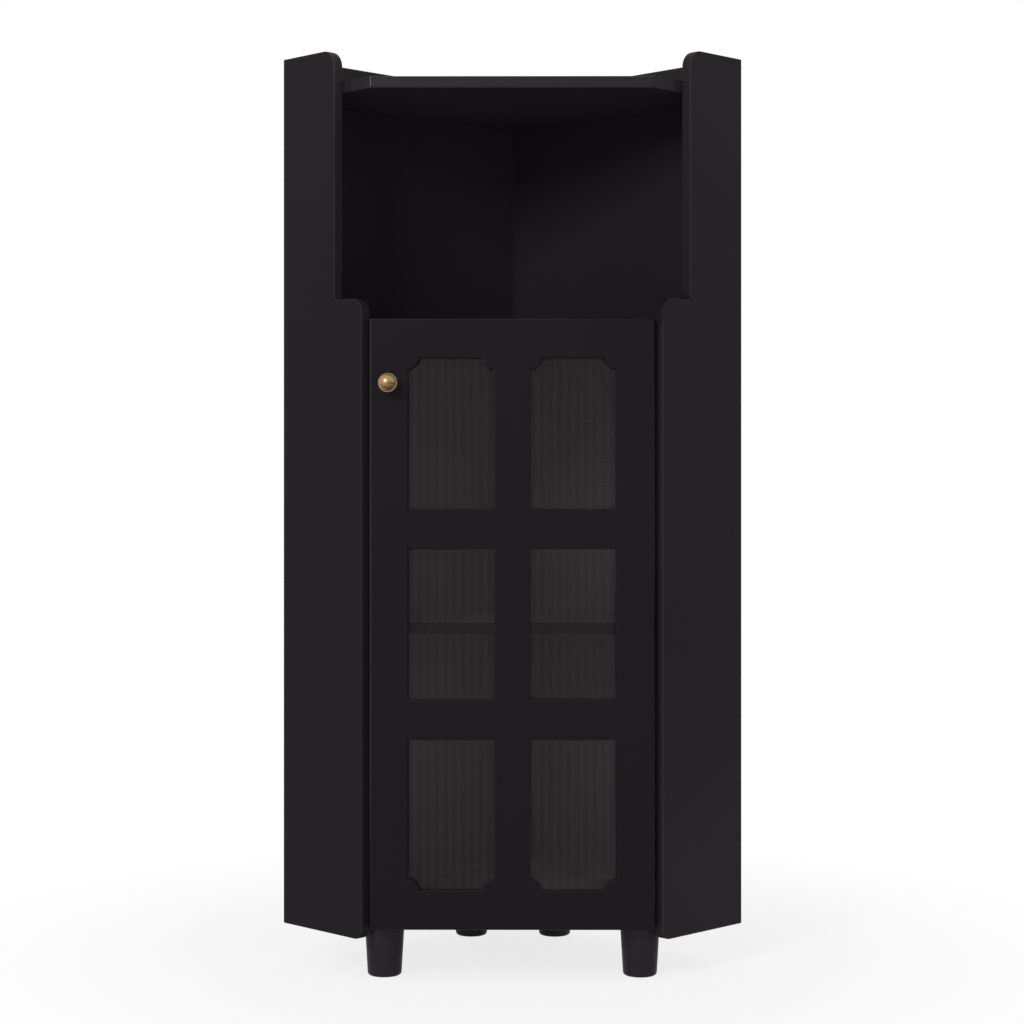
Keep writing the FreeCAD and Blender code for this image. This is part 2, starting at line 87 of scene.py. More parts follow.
def about(tree, middle, wave, swing):
    """middle, plus or minus half of swing, as wave goes from 0 to 1."""
    return worked_out(tree, "MULTIPLY_ADD", worked_out(tree, "SUBTRACT", wave, 0.5), swing, middle)


def blended(tree, share, first, second):
    """Two colours mixed, each a value or another node's output: all second where share is 1."""
    mix = tree.nodes.new("ShaderNodeMix")
    mix.data_type = "RGBA"
    for colour, socket in ((first, mix.inputs["A"]), (second, mix.inputs["B"])):
        if isinstance(colour, tuple):
            socket.default_value = colour
        else:
            tree.links.new(colour, socket)
    tree.links.new(share, mix.inputs["Factor"])
    return mix.outputs["Result"]


def shaded(tree, tone, level):
    """tone made darker or lighter by level, where 1 leaves it as it is."""
    scale = tree.nodes.new("ShaderNodeVectorMath")
    scale.operation = "SCALE"
    tree.links.new(tone, scale.inputs[0])
    tree.links.new(level, scale.inputs["Scale"])
    return scale.outputs["Vector"]


def lacquer_effect():
    group, taken, given = new_effect(
        "sprayed_lacquer",
        [("Tone", "NodeSocketColor", (0.01, 0.01, 0.01, 1)), ("Sheen Loss", "NodeSocketFloat", 0.4),
         ("Mottle", "NodeSocketFloat", 0.1), ("Across", "NodeSocketVector", (0, 1, 0)),
         ("Arris Shine", "NodeSocketFloat", 0.0)],
        [("Color", "NodeSocketColor"), ("Roughness", "NodeSocketFloat"), ("Height", "NodeSocketFloat")])
    surface = group.nodes.new("ShaderNodeTexCoord")
    place = surface.outputs["Object"]
    cloud = noise_in(group, place, scale=6.0, detail=3.0)
    grain = noise_in(group, place, scale=900.0, detail=1.0)
    peel = noise_in(group, place, scale=330.0, detail=2.0)
    lean = group.nodes.new("ShaderNodeVectorMath")
    lean.operation = "DOT_PRODUCT"
    group.links.new(surface.outputs["Normal"], lean.inputs[0])
    group.links.new(taken.outputs["Across"], lean.inputs[1])
    # Painted highlight: the tone is lightened on rounded arrises, where the normal leans part way from a face
    # to Across.
    arris = group.nodes.new("ShaderNodeValToRGB")
    arris.color_ramp.interpolation = "EASE"
    arris.color_ramp.elements[0].position, arris.color_ramp.elements[1].position = 0.10, 0.45
    for position, level in ((0.93, 1.0), (0.985, 0.0)):
        arris.color_ramp.elements.new(position).color = (level, level, level, 1)
    group.links.new(worked_out(group, "ABSOLUTE", lean.outputs["Value"]), arris.inputs["Fac"])
    shine = worked_out(group, "MULTIPLY_ADD", arris.outputs["Color"], taken.outputs["Arris Shine"],
                       about(group, 1.0, cloud, taken.outputs["Mottle"]))
    group.links.new(shaded(group, taken.outputs["Tone"], shine), given.inputs["Color"])
    dull = about(group, taken.outputs["Sheen Loss"], cloud, 0.10)
    group.links.new(about(group, dull, grain, 0.05), given.inputs["Roughness"])
    group.links.new(peel, given.inputs["Height"])
    return group


sprayed_lacquer = lacquer_effect()


def add_effect(tree, group, shader, bump_strength, bump_depth, **values):
    """Places a shared effect in a material and joins its colour, roughness and height to the shader."""
    effect = tree.nodes.new("ShaderNodeGroup")
    effect.node_tree = group
    for socket, value in values.items():
        effect.inputs[socket.replace("_", " ")].default_value = value
    tree.links.new(effect.outputs["Color"], shader.inputs["Base Color"])
    tree.links.new(effect.outputs["Roughness"], shader.inputs["Roughness"])
    bump = tree.nodes.new("ShaderNodeBump")
    bump.inputs["Strength"].default_value = bump_strength
    bump.inputs["Distance"].default_value = bump_depth
    tree.links.new(effect.outputs["Height"], bump.inputs["Height"])
    tree.links.new(bump.outputs["Normal"], shader.inputs["Normal"])


def black_lacquer(name, tone, sheen_loss, mottle, gloss=0.06, gloss_tint=(1, 1, 1, 1), across=(0, 1, 0),
                  arris_highlight=0.0):
    """Sprayed black lacquer. across is the way of a board's thickness, which tells its arrises apart for a
    painted highlight.
    """
    material, tree, shader = blank_finish(name)
    shader.inputs["Specular IOR Level"].default_value = gloss
    shader.inputs["Specular Tint"].default_value = gloss_tint
    add_effect(tree, sprayed_lacquer, shader, bump_strength=0.05, bump_depth=0.0004, Tone=tone,
               Sheen_Loss=sheen_loss, Mottle=mottle, Across=across, Arris_Shine=arris_highlight)
    return material


def dress(material, *nodes):
    """Gives CAD nodes a finish, by their objects' own material slots."""
    for node in nodes:
        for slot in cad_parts[node].material_slots:
            slot.material = material


def toned(material, tone, *patches):
    """Gives a lacquer other tones in patches, each a tone and a mask of the surface's place and normal."""
    tree = material.node_tree
    effect = next(node for node in tree.nodes if node.type == "GROUP")
    surface = tree.nodes.new("ShaderNodeTexCoord")
    below = tone
    for patch_tone, mask in patches:
        share = mask(tree, surface.outputs["Object"], surface.outputs["Normal"])
        below = blended(tree, share, below, patch_tone)
    tree.links.new(below, effect.inputs["Tone"])


def reach(tree, vector, direction):
    """How far a place or normal goes in a direction."""
    dot = tree.nodes.new("ShaderNodeVectorMath")
    dot.operation = "DOT_PRODUCT"
    dot.inputs[1].default_value = direction
    tree.links.new(vector, dot.inputs[0])
    return dot.outputs["Value"]


def grown(tree, value, low, high):
    """0 up to low, 1 from high on, and in between a straight line."""
    ramp = tree.nodes.new("ShaderNodeMapRange")
    ramp.inputs["From Min"].default_value, ramp.inputs["From Max"].default_value = low, high
    tree.links.new(value, ramp.inputs["Value"])
    return ramp.outputs[0]


def reached(tree, vector, direction, start, full):
    """0 where a place or normal goes only to start in a direction, and 1 where it goes to full."""
    return grown(tree, reach(tree, vector, direction), start, full)


def height_band(start, full):
    """A mask that grows from one height to another, up or down."""
    def mask(tree, place, normal):
        return reached(tree, place, up, start, full)
    return mask


def front_edge_of(out, slopes, *bands):
    """A mask of one panel's front edge: where its face is turned to the room, in bands of height."""
    def mask(tree, place, normal):
        share = reached(tree, normal, (out * half_root, -half_root, 0), *slopes)
        for band in bands:
            share = both(tree, share, height_band(*band)(tree, place, normal))
        return share
    return mask


def warm_black(level):
    """The lacquer's black, with a little less green in it."""
    return (level, 0.83 * level, level, 1)


up, half_root = (0, 0, 1), math.sqrt(0.5)
near_floor, near_top = height_band(start=0.42, full=0.15), height_band(start=0.95, full=1.15)
flat_slopes, round_slopes, nose_slopes = (0.95, 0.98), (0.25, 0.50), (0.10, 0.35)
below_ledge, by_top, nose_low, nose_high = (0.88, 0.84), (1.08, 1.165), (0.822, 0.848), (0.876, 0.869)
# Painted light: the panels' levels differ, lighter near floor and top and on the front ends, to stand in for
# light.
for hand, out, level, floor_bounce_level, top_light_level, lit_end_level, lit_top_end_level, nose_painted_level in (
        ("left", 1, 0.0137, 0.0147, 0.0151, 0.01918, 0.0240, 0.0143),
        ("right", -1, 0.0162, 0.0208, 0.0183, 0.02268, 0.0200, 0.0105)):
    panel_black = black_lacquer(hand + "_panel_black", warm_black(level), sheen_loss=0.40, mottle=0.10,
                                gloss=0.03, across=(out * half_root, half_root, 0), arris_highlight=0.45)
    toned(panel_black, warm_black(level),
          (warm_black(floor_bounce_level), near_floor), (warm_black(top_light_level), near_top),
          (warm_black(lit_end_level), front_edge_of(out, flat_slopes, below_ledge)),
          (warm_black(lit_top_end_level), front_edge_of(out, round_slopes, by_top)),
          (warm_black(nose_painted_level), front_edge_of(out, nose_slopes, nose_low, nose_high)))
    dress(panel_black, hand + "_side_panel")


# Back panels: two 12 mm boards that stand against the walls and meet in the corner behind the niche.
# Their top edges rise above the top board as a low gallery. Inside the cupboard they have only a grey primer,
# which makes the glass look paler than the door round it.
def inner_side_below(height):
    def mask(tree, place, normal):
        inwards = reached(tree, normal, to_front, start=0.45, full=0.55)
        return both(tree, inwards, reached(tree, place, up, height + line_blur, height - line_blur))
    return mask


# Painted light: the niche walls turn lighter towards the corner.
def niche_corner(tree, place, normal):
    in_niche = inner_side_below(niche_top)(tree, place, normal)
    return both(tree, in_niche, reached(tree, place, to_corner, start=0.03, full=0.21))


# Painted light: the primer turns lighter towards the cupboard's floor.
def cupboard_foot(tree, place, normal):
    in_cupboard = inner_side_below(niche_bottom)(tree, place, normal)
    return both(tree, in_cupboard, reached(tree, place, up, start=0.72, full=0.14))


def primer_grey(level):
    """The primer's grey, a little warmer than neutral."""
    return (level, 0.940 * level, 0.932 * level, 1)


to_front, to_corner = (0, -1, 0), (0, 1, 0)
niche_top, niche_bottom, line_blur = 1.140, 0.829, 0.0005
gallery_tone = warm_black(0.0220)
# Painted light and shade: the two back panels get different levels.
for hand, wall_level, corner_bounce_level, upper_primer, lower_primer_and_light in (("left", 0.0160, 0.0320, 0.097, 0.152),
                                                                   ("right", 0.0184, 0.0245, 0.089, 0.116)):
    back_black = black_lacquer(hand + "_back_black", gallery_tone, sheen_loss=0.42, mottle=0.10)
    toned(back_black, gallery_tone,
          (warm_black(wall_level), inner_side_below(niche_top)), (warm_black(corner_bounce_level), niche_corner),
          (primer_grey(upper_primer), inner_side_below(niche_bottom)),
          (primer_grey(lower_primer_and_light), cupboard_foot))
    dress(back_black, hand + "_back_panel")


# Boards: the top board, the niche floor and the bottom board, five-sided, 15 mm thick and eased at the front.
# They are lacquered and fixed between the panels. The top board is painted lighter underneath, most towards
# the back, darker on its angled ends and with a highlight on its left corner, all as painted light and shade,
# and the bottom board's top face has the cupboard's primer, painted lighter.
def facing_down(tree, place, normal):
    return reached(tree, normal, down, start=0.6, full=0.8)


def facing_up(tree, place, normal):
    return reached(tree, normal, up, start=0.6, full=0.8)


def deep_underside(tree, place, normal):
    towards_back = reached(tree, place, to_corner, start=-0.16, full=0.02)
    return both(tree, facing_down(tree, place, normal), towards_back)


def unsigned(tree, vector):
    """A place or normal without its signs, so that left and right count the same."""
    size = tree.nodes.new("ShaderNodeVectorMath")
    size.operation = "ABSOLUTE"
    tree.links.new(vector, size.inputs[0])
    return size.outputs["Vector"]


def angled_edge(tree, place, normal):
    return reached(tree, unsigned(tree, normal), (half_root, half_root, 0), start=0.94, full=0.98)


def angled_edge_by_panel(tree, place, normal):
    by_panel = reached(tree, unsigned(tree, place), to_right, start=0.199, full=0.213)
    return both(tree, angled_edge(tree, place, normal), by_panel)


def left_corner(tree, place, normal):
    corner_way = (-math.sin(math.pi / 8), -math.cos(math.pi / 8), 0)
    return reached(tree, normal, corner_way, start=0.945, full=0.985)


down, to_right = (0, 0, -1), (1, 0, 0)
# Painted light and shade on the top board: lighter underneath, darker angled ends, a highlight on the left
# corner.
board_tone, lit_underside_tone = (0.0097, 0.0080, 0.0097, 1), (0.0235, 0.0194, 0.0235, 1)
lit_deep_tone, corner_highlight_tone = (0.048, 0.0394, 0.048, 1), (0.070, 0.062, 0.068, 1)
angled_edge_shade_tone, by_panel_lit_tone = warm_black(0.0006), warm_black(0.017)
board_finish = dict(sheen_loss=0.36, mottle=0.10, gloss=0.19, gloss_tint=(1.0, 0.90, 1.0, 1))
top_black = black_lacquer("top_board_black", board_tone, **board_finish)
toned(top_black, board_tone, (lit_underside_tone, facing_down), (lit_deep_tone, deep_underside),
      (angled_edge_shade_tone, angled_edge), (by_panel_lit_tone, angled_edge_by_panel), (corner_highlight_tone, left_corner))
dress(top_black, "top_board")
floor_black = black_lacquer("niche_floor_black", board_tone, **board_finish)
dress(floor_black, "niche_floor")
bottom_black = black_lacquer("bottom_board_black", board_tone, **board_finish)
# Painted light: the primer on the bottom board's top is lighter than on the walls.
toned(bottom_black, board_tone, (primer_grey(0.212), facing_up))
dress(bottom_black, "bottom_board")


# Dowels: plain beech pegs, glued half into a board and half into a panel, so they are hidden once it stands.
# The grain runs in fine, pale and dark lines, and the turned surface is matt.
def bare_beech():
    material, tree, shader = blank_finish("bare_beech")
    place = tree.nodes.new("ShaderNodeTexCoord").outputs["Object"]
    along = tree.nodes.new("ShaderNodeMapping")
    along.inputs["Scale"].default_value = (1.0, 1.0, 9.0)
    tree.links.new(place, along.inputs["Vector"])
    lines = noise_in(tree, along.outputs["Vector"], scale=160.0, detail=4.0)
    flecks = noise_in(tree, place, scale=1400.0, detail=1.0)
    colours = tree.nodes.new("ShaderNodeValToRGB")
    colours.color_ramp.elements[0].position, colours.color_ramp.elements[1].position = 0.30, 0.72
    colours.color_ramp.elements[0].color = (0.47, 0.29, 0.15, 1)
    colours.color_ramp.elements[1].color = (0.70, 0.52, 0.34, 1)
    tree.links.new(lines, colours.inputs["Fac"])
    tree.links.new(colours.outputs["Color"], shader.inputs["Base Color"])
    tree.links.new(about(tree, 0.62, flecks, 0.15), shader.inputs["Roughness"])
    return material


dress(bare_beech(), "board_dowels", "back_panel_dowels")


# Cam fittings: six die-cast zinc discs that a cross driver turns, each drawing a plated steel bolt tight.
# The discs lie flush in round seats: under the bottom board and the niche floor, and on top of the top board.
def worked_metal_effect():
    group, taken, given = new_effect(
        "worked_metal",
        [("Tone", "NodeSocketColor", (0.6, 0.6, 0.6, 1)), ("Dullness", "NodeSocketFloat", 0.3),
         ("Scratches", "NodeSocketFloat", 0.1), ("Stain", "NodeSocketFloat", 0.2)],
        [("Color", "NodeSocketColor"), ("Roughness", "NodeSocketFloat"), ("Height", "NodeSocketFloat")])
    place = group.nodes.new("ShaderNodeTexCoord").outputs["Object"]
    stretched = group.nodes.new("ShaderNodeMapping")
    stretched.inputs["Scale"].default_value = (1.0, 1.0, 14.0)
    group.links.new(place, stretched.inputs["Vector"])
    cloud = noise_in(group, place, scale=170.0, detail=3.0)
    lines = noise_in(group, stretched.outputs["Vector"], scale=260.0, detail=3.0)
    group.links.new(shaded(group, taken.outputs["Tone"], about(group, 1.0, cloud, taken.outputs["Stain"])),
                    given.inputs["Color"])
    dull = about(group, taken.outputs["Dullness"], cloud, 0.12)
    group.links.new(about(group, dull, lines, taken.outputs["Scratches"]), given.inputs["Roughness"])
    group.links.new(lines, given.inputs["Height"])
    return group


worked_metal = worked_metal_effect()


def metal(name, tone, dullness, scratches, stain):
    material, tree, shader = blank_finish(name)
    shader.inputs["Metallic"].default_value = 1.0
    add_effect(tree, worked_metal, shader, bump_strength=0.06, bump_depth=0.0001, Tone=tone,
               Dullness=dullness, Scratches=scratches, Stain=stain)
    return material


def start_piece(name, add, **size):
    """A primitive at its size and place, alone in the selection, with its place in its mesh."""
    bpy.ops.object.select_all(action="DESELECT")
    add(**size)
    piece = bpy.context.active_object
    piece.name = name
    bpy.ops.object.transform_apply(location=True, rotation=True, scale=True)
    return piece


def pick(piece, kind, test):
    """In edit mode, selects only the faces, edges or points whose middle and direction pass a test."""
    bpy.ops.mesh.select_mode(type=kind)
    bpy.ops.mesh.select_all(action="DESELECT")
    mesh = bmesh.from_edit_mesh(piece.data)
    mesh.normal_update()
    if kind == "FACE":
        for face in mesh.faces:
            face.select_set(test(face.calc_center_median(), face.normal))
    elif kind == "EDGE":
        for edge in mesh.edges:
            low, high = (corner.co for corner in edge.verts)
            edge.select_set(test((low + high) / 2, (high - low).normalized()))
    else:
        for point in mesh.verts:
            point.select_set(test(point.co, point.normal))
    mesh.select_flush_mode()
    bmesh.update_edit_mesh(piece.data)


def cross_cutter(width, length, depth):
    """A tapered cross that stands in the plane z = 0 and reaches depth below it."""
    cutter = start_piece("cross_cutter", bpy.ops.mesh.primitive_cube_add, size=width)
    bpy.ops.object.mode_set(mode="EDIT")
    bpy.ops.mesh.select_all(action="SELECT")
    bpy.ops.transform.resize(value=(1, 1, 2 * depth / width), center_override=(0, 0, 0))
    pick(cutter, "FACE", lambda middle, way: abs(way.z) < 0.1)
    bpy.ops.mesh.extrude_faces_move(TRANSFORM_OT_shrink_fatten={"value": (length - width) / 2})
    pick(cutter, "FACE", lambda middle, way: way.z < -0.9)
    bpy.ops.transform.resize(value=(0.55, 0.55, 1), center_override=(0, 0, -depth))
    bpy.ops.object.mode_set(mode="OBJECT")
    return cutter


def cut_away(piece, cutter):
    bpy.context.view_layer.objects.active = piece
    recess = piece.modifiers.new("recess", "BOOLEAN")
    recess.operation, recess.object = "DIFFERENCE", cutter
    bpy.ops.object.modifier_apply(modifier=recess.name)
    bpy.data.objects.remove(cutter, do_unlink=True)


def soften(piece, degrees):
    """Shades a piece smooth, apart from edges sharper than an angle."""
    bpy.ops.object.select_all(action="DESELECT")
    piece.select_set(True)
    bpy.context.view_layer.objects.active = piece
    bpy.ops.object.shade_smooth_by_angle(angle=math.radians(degrees))


def set_copies(pattern, name, places):
    """Copies a pattern that faces +Z to each place, turned to face the way given, as one piece."""
    bpy.ops.object.select_all(action="DESELECT")
    for place, facing in places:
        copy = pattern.copy()
        copy.data = pattern.data.copy()
        bpy.context.collection.objects.link(copy)
        turn = Vector(up).rotation_difference(Vector(facing)).to_matrix().to_4x4()
        copy.data.transform(Matrix.Translation(place) @ turn)
        copy.select_set(True)
        bpy.context.view_layer.objects.active = copy
    if len(places) > 1:
        bpy.ops.object.join()
    bpy.data.objects.remove(pattern, do_unlink=True)
    piece = bpy.context.active_object
    piece.name = name
    return piece


cam_r, cam_depth, cam_rim, cam_sink, cam_ease = 0.0075, 0.012, 0.0012, 0.0003, 0.0004
hair = 0.00001
cam_pattern = start_piece("cam_pattern", bpy.ops.mesh.primitive_cylinder_add, vertices=48, radius=cam_r,
                          depth=cam_depth, location=(0, 0, -cam_depth / 2))
bpy.ops.object.mode_set(mode="EDIT")
pick(cam_pattern, "FACE", lambda middle, way: way.z > 0.9)
bpy.ops.mesh.inset(thickness=cam_rim)
bpy.ops.mesh.extrude_region_move(TRANSFORM_OT_translate={"value": (0, 0, -cam_sink)})
pick(cam_pattern, "EDGE", lambda middle, way: abs(way.z) < 0.1 and middle.z > -hair and
     middle.length > 0.9 * cam_r)
bpy.ops.mesh.bevel(offset=cam_ease, segments=2)
bpy.ops.object.mode_set(mode="OBJECT")
cut_away(cam_pattern, cross_cutter(width=0.0017, length=0.0085, depth=0.0032))
soften(cam_pattern, 35)
cam_x, cam_y, top_cam_x, top_cam_y = 0.21419, -0.10819, 0.23293, -0.08945
bottom_board_low, niche_floor_low, top_board_high = 0.0675, 0.8212, 1.147
cam_places = []
for side in (-1, 1):
    cam_places += [((side * cam_x, cam_y, bottom_board_low), down),
                   ((side * cam_x, cam_y, niche_floor_low), down),
                   ((side * top_cam_x, top_cam_y, top_board_high), up)]
zinc_cams = set_copies(cam_pattern, "zinc_cams", cam_places)
cast_zinc = metal("cast_zinc", (0.50, 0.50, 0.51, 1), dullness=0.42, scratches=0.10, stain=0.35)
zinc_cams.data.materials.append(cast_zinc)
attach(zinc_cams, "carcass")
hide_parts("cam_discs")
plated_steel = metal("plated_steel", (0.60, 0.60, 0.61, 1), dullness=0.28, scratches=0.16, stain=0.25)
dress(plated_steel, "cam_bolts")


# Back-panel screws: countersunk, cross-headed and zinc plated, driven flush through the back panels into the
# boards, three to a board on each wall, and three down the corner, where one back panel holds the other.
def cross_screw(head_r, head, shank_r, length):
    """A countersunk screw whose head ends at z = 0, with its shank below."""
    cone, tip_rim, tip_rise = 0.85 * head, 0.75 * shank_r, 1.6 * shank_r
    piece = start_piece("screw_pattern", bpy.ops.mesh.primitive_cylinder_add, vertices=24, radius=shank_r,
                        depth=length - head, location=(0, 0, -(length + head) / 2))
    bpy.ops.object.mode_set(mode="EDIT")
    pick(piece, "FACE", lambda middle, way: way.z > 0.9)
    bpy.ops.mesh.extrude_region_move(TRANSFORM_OT_translate={"value": (0, 0, cone)})
    bpy.ops.transform.resize(value=(head_r / shank_r, head_r / shank_r, 1), center_override=(0, 0, 0))
    bpy.ops.mesh.extrude_region_move(TRANSFORM_OT_translate={"value": (0, 0, head - cone)})
    pick(piece, "FACE", lambda middle, way: way.z < -0.9 and middle.z < -0.9 * length)
    bpy.ops.mesh.inset(thickness=tip_rim)
    pick(piece, "EDGE", lambda middle, way: abs(way.z) < 0.1 and middle.z < -0.98 * length and
         middle.xy.length > 0.9 * shank_r)
    bpy.ops.transform.translate(value=(0, 0, tip_rise))
    bpy.ops.object.mode_set(mode="OBJECT")
    cut_away(piece, cross_cutter(width=0.26 * head_r, length=1.15 * head_r, depth=0.9 * head))
    soften(piece, 35)
    return piece


corner_y, corner_screw_in = 0.222467, 0.00424
wall_steps, board_middles = (0.080, 0.20463, 0.32926), (0.0750, 0.8287, 1.1395)
corner_heights = (0.23024, 0.52572, 0.9766)
screw_places = []
for side in (-1, 1):
    for along in wall_steps:
        for z in board_middles:
            seat = (side * along * half_root, corner_y - along * half_root, z)
            screw_places.append((seat, (side * half_root, half_root, 0)))
for z in corner_heights:
    screw_places.append(((corner_screw_in, corner_y - corner_screw_in, z), (half_root, half_root, 0)))
panel_screw = cross_screw(head_r=0.004, head=0.002, shank_r=0.002, length=0.044)
panel_screws = set_copies(panel_screw, "panel_screws", screw_places)
panel_screws.data.materials.append(plated_steel)
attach(panel_screws, "carcass")
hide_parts("back_panel_screws")

# Legs: four short round wooden legs, turned to a taper with a rounded foot and lacquered black.
# Each screws on a hanger bolt into a steel insert in the bottom board and stands on a plastic glide. The rear
# pair and the tops of the front pair are painted lighter, as painted light in the cabinet's shade.
leg_top_r, leg_foot_r, leg_low, leg_high = 0.0255, 0.0216, 0.0004, 0.0675
foot_round, top_ease, foot_rim, foot_sink, near = 0.004, 0.0005, 0.006, 0.0003, 0.0005
leg_pattern = start_piece("leg_pattern", bpy.ops.mesh.primitive_cylinder_add, vertices=96, radius=leg_top_r,
                          depth=leg_high - leg_low, location=(0, 0, (leg_low + leg_high) / 2))
bpy.ops.object.mode_set(mode="EDIT")
pick(leg_pattern, "FACE", lambda middle, way: way.z < -0.9)
bpy.ops.transform.resize(value=(leg_foot_r / leg_top_r, leg_foot_r / leg_top_r, 1), center_override=(0, 0, 0))
pick(leg_pattern, "EDGE", lambda middle, way: abs(way.z) < 0.1 and middle.z < leg_low + near)
bpy.ops.mesh.bevel(offset=foot_round, segments=7)
pick(leg_pattern, "EDGE", lambda middle, way: abs(way.z) < 0.1 and middle.z > leg_high - near)
bpy.ops.mesh.bevel(offset=top_ease, segments=2)
pick(leg_pattern, "FACE", lambda middle, way: way.z < -0.99 and middle.xy.length < near)
bpy.ops.mesh.inset(thickness=foot_rim)
bpy.ops.mesh.extrude_region_move(TRANSFORM_OT_translate={"value": (0, 0, foot_sink)})
bpy.ops.object.mode_set(mode="OBJECT")
soften(leg_pattern, 35)
# Painted light: the front legs' tops and the whole rear pair are lighter, against the shade of the cabinet.
leg_tone, leg_top_lit_tone, rear_leg_lit_tone = warm_black(0.0217), warm_black(0.042), warm_black(0.0510)
front_leg_black = black_lacquer("front_leg_black", leg_tone, sheen_loss=0.40, mottle=0.14)
toned(front_leg_black, leg_tone, (leg_top_lit_tone, height_band(start=0.040, full=0.064)))
rear_leg_lit_black = black_lacquer("rear_leg_lit_black", rear_leg_lit_tone, sheen_loss=0.40, mottle=0.14)
front_leg_x, front_leg_y, rear_leg_x, rear_leg_y = 0.163664, -0.14132, 0.058, 0.107616
for node, x, y, leg_black in (("front_left_leg", -front_leg_x, front_leg_y, front_leg_black),
                              ("front_right_leg", front_leg_x, front_leg_y, front_leg_black),
                              ("rear_left_leg", -rear_leg_x, rear_leg_y, rear_leg_lit_black),
                              ("rear_right_leg", rear_leg_x, rear_leg_y, rear_leg_lit_black)):
    leg = leg_pattern.copy()
    leg.data = leg_pattern.data.copy()
    leg.data.materials.append(leg_black)
    leg.data.transform(Matrix.Translation((x, y, 0)))
    leg.name = "turned_" + node
    bpy.context.collection.objects.link(leg)
    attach(leg, "carcass")
    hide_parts(node)
bpy.data.objects.remove(leg_pattern, do_unlink=True)
dress(plated_steel, "leg_bolts", "leg_inserts")


def moulded_plastic(name, tone, dullness, gloss):
    material, tree, shader = blank_finish(name)
    shader.inputs["Specular IOR Level"].default_value = gloss
    place = tree.nodes.new("ShaderNodeTexCoord").outputs["Object"]
    sparks = noise_in(tree, place, scale=1600.0, detail=2.0)
    flow = noise_in(tree, place, scale=90.0, detail=2.0)
    darker, lighter = (tuple(share * level for level in tone) + (1,) for share in (0.86, 1.14))
    tree.links.new(blended(tree, flow, darker, lighter), shader.inputs["Base Color"])
    tree.links.new(about(tree, dullness, sparks, 0.12), shader.inputs["Roughness"])
    bump = tree.nodes.new("ShaderNodeBump")
    bump.inputs["Strength"].default_value = 0.12
    bump.inputs["Distance"].default_value = 0.0001
    tree.links.new(sparks, bump.inputs["Height"])
    tree.links.new(bump.outputs["Normal"], shader.inputs["Normal"])
    return material


black_plastic = moulded_plastic("black_plastic", (0.018, 0.018, 0.018), dullness=0.50, gloss=0.35)
dress(black_plastic, "leg_glides")


# Shelf: one loose five-sided board behind the glass, set back from the door and primed grey, its front edge
# painted near black and the front of its top darker, as painted shade. It rests on four plated steel pins
# that plug into blind holes in the side and back panels.
def facing_door(tree, place, normal):
    return reached(tree, normal, to_front, start=0.4, full=0.6)


def shelf_front(tree, place, normal):
    towards_door = reached(tree, place, to_front, start=-0.04, full=0.164)
    return both(tree, facing_up(tree, place, normal), towards_door)


# Painted shade: the shelf's front edge near black and its top darker towards the front.
shelf_tone, shelf_front_shade_tone = primer_grey(0.106), primer_grey(0.064)
shelf_edge_shade_tone = (0.0012, 0.0010, 0.0012, 1)
shelf_primer = black_lacquer("shelf_primer", shelf_tone, sheen_loss=0.50, mottle=0.10, gloss=0.02)
toned(shelf_primer, shelf_tone, (shelf_front_shade_tone, shelf_front), (shelf_edge_shade_tone, facing_door))
dress(shelf_primer, "cupboard_shelf")
dress(plated_steel, "shelf_pins")

# Pivot hinges: two nickel-plated plates under the niche floor and on the bottom board, whose arms reach into
# pockets in the door. A pin and a nylon washer turn in each, and two countersunk screws hold each plate.
hinge_steel = metal("hinge_steel", (0.36, 0.35, 0.34, 1), dullness=0.32, scratches=0.18, stain=0.20)
dress(hinge_steel, "upper_hinge_plate", "lower_hinge_plate")
dress(plated_steel, "upper_hinge_pin", "lower_hinge_pin")
white_nylon = moulded_plastic("white_nylon", (0.74, 0.73, 0.69), dullness=0.45, gloss=0.5)
dress(white_nylon, "upper_hinge_washer", "lower_hinge_washer")
hinge_screw_y, upper_plate_low, lower_plate_high = -0.16192, 0.8187, 0.0850
hinge_screw_places = []
for x in (0.146, 0.168):
    hinge_screw_places += [((x, hinge_screw_y, upper_plate_low), down),
                           ((x, hinge_screw_y, lower_plate_high), up)]
plate_screw = cross_screw(head_r=0.003, head=0.0015, shank_r=0.0015, length=0.0115)
plate_screws = set_copies(plate_screw, "plate_screws", hinge_screw_places)
plate_screws.data.materials.append(plated_steel)
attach(plate_screws, "carcass")
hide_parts("hinge_screws")

# Magnetic catch: a moulded black housing screwed up under the niche floor, with a dark ferrite block in its
# front. Its two screws are countersunk and come from below.
dress(black_plastic, "catch_housing")
ferrite = metal("ferrite_block", (0.10, 0.10, 0.105, 1), dullness=0.55, scratches=0.10, stain=0.40)
dress(ferrite, "catch_magnet")
housing_screw_y, housing_low = -0.16732, 0.8092
housing_screw = cross_screw(head_r=0.00275, head=0.0015, shank_r=0.0015, length=0.021)
housing_screws = set_copies(housing_screw, "housing_screws",
                            [((x, housing_screw_y, housing_low), down) for x in (-0.1575, -0.1255)])
housing_screws.data.materials.append(plated_steel)
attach(housing_screws, "carcass")
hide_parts("catch_screws")


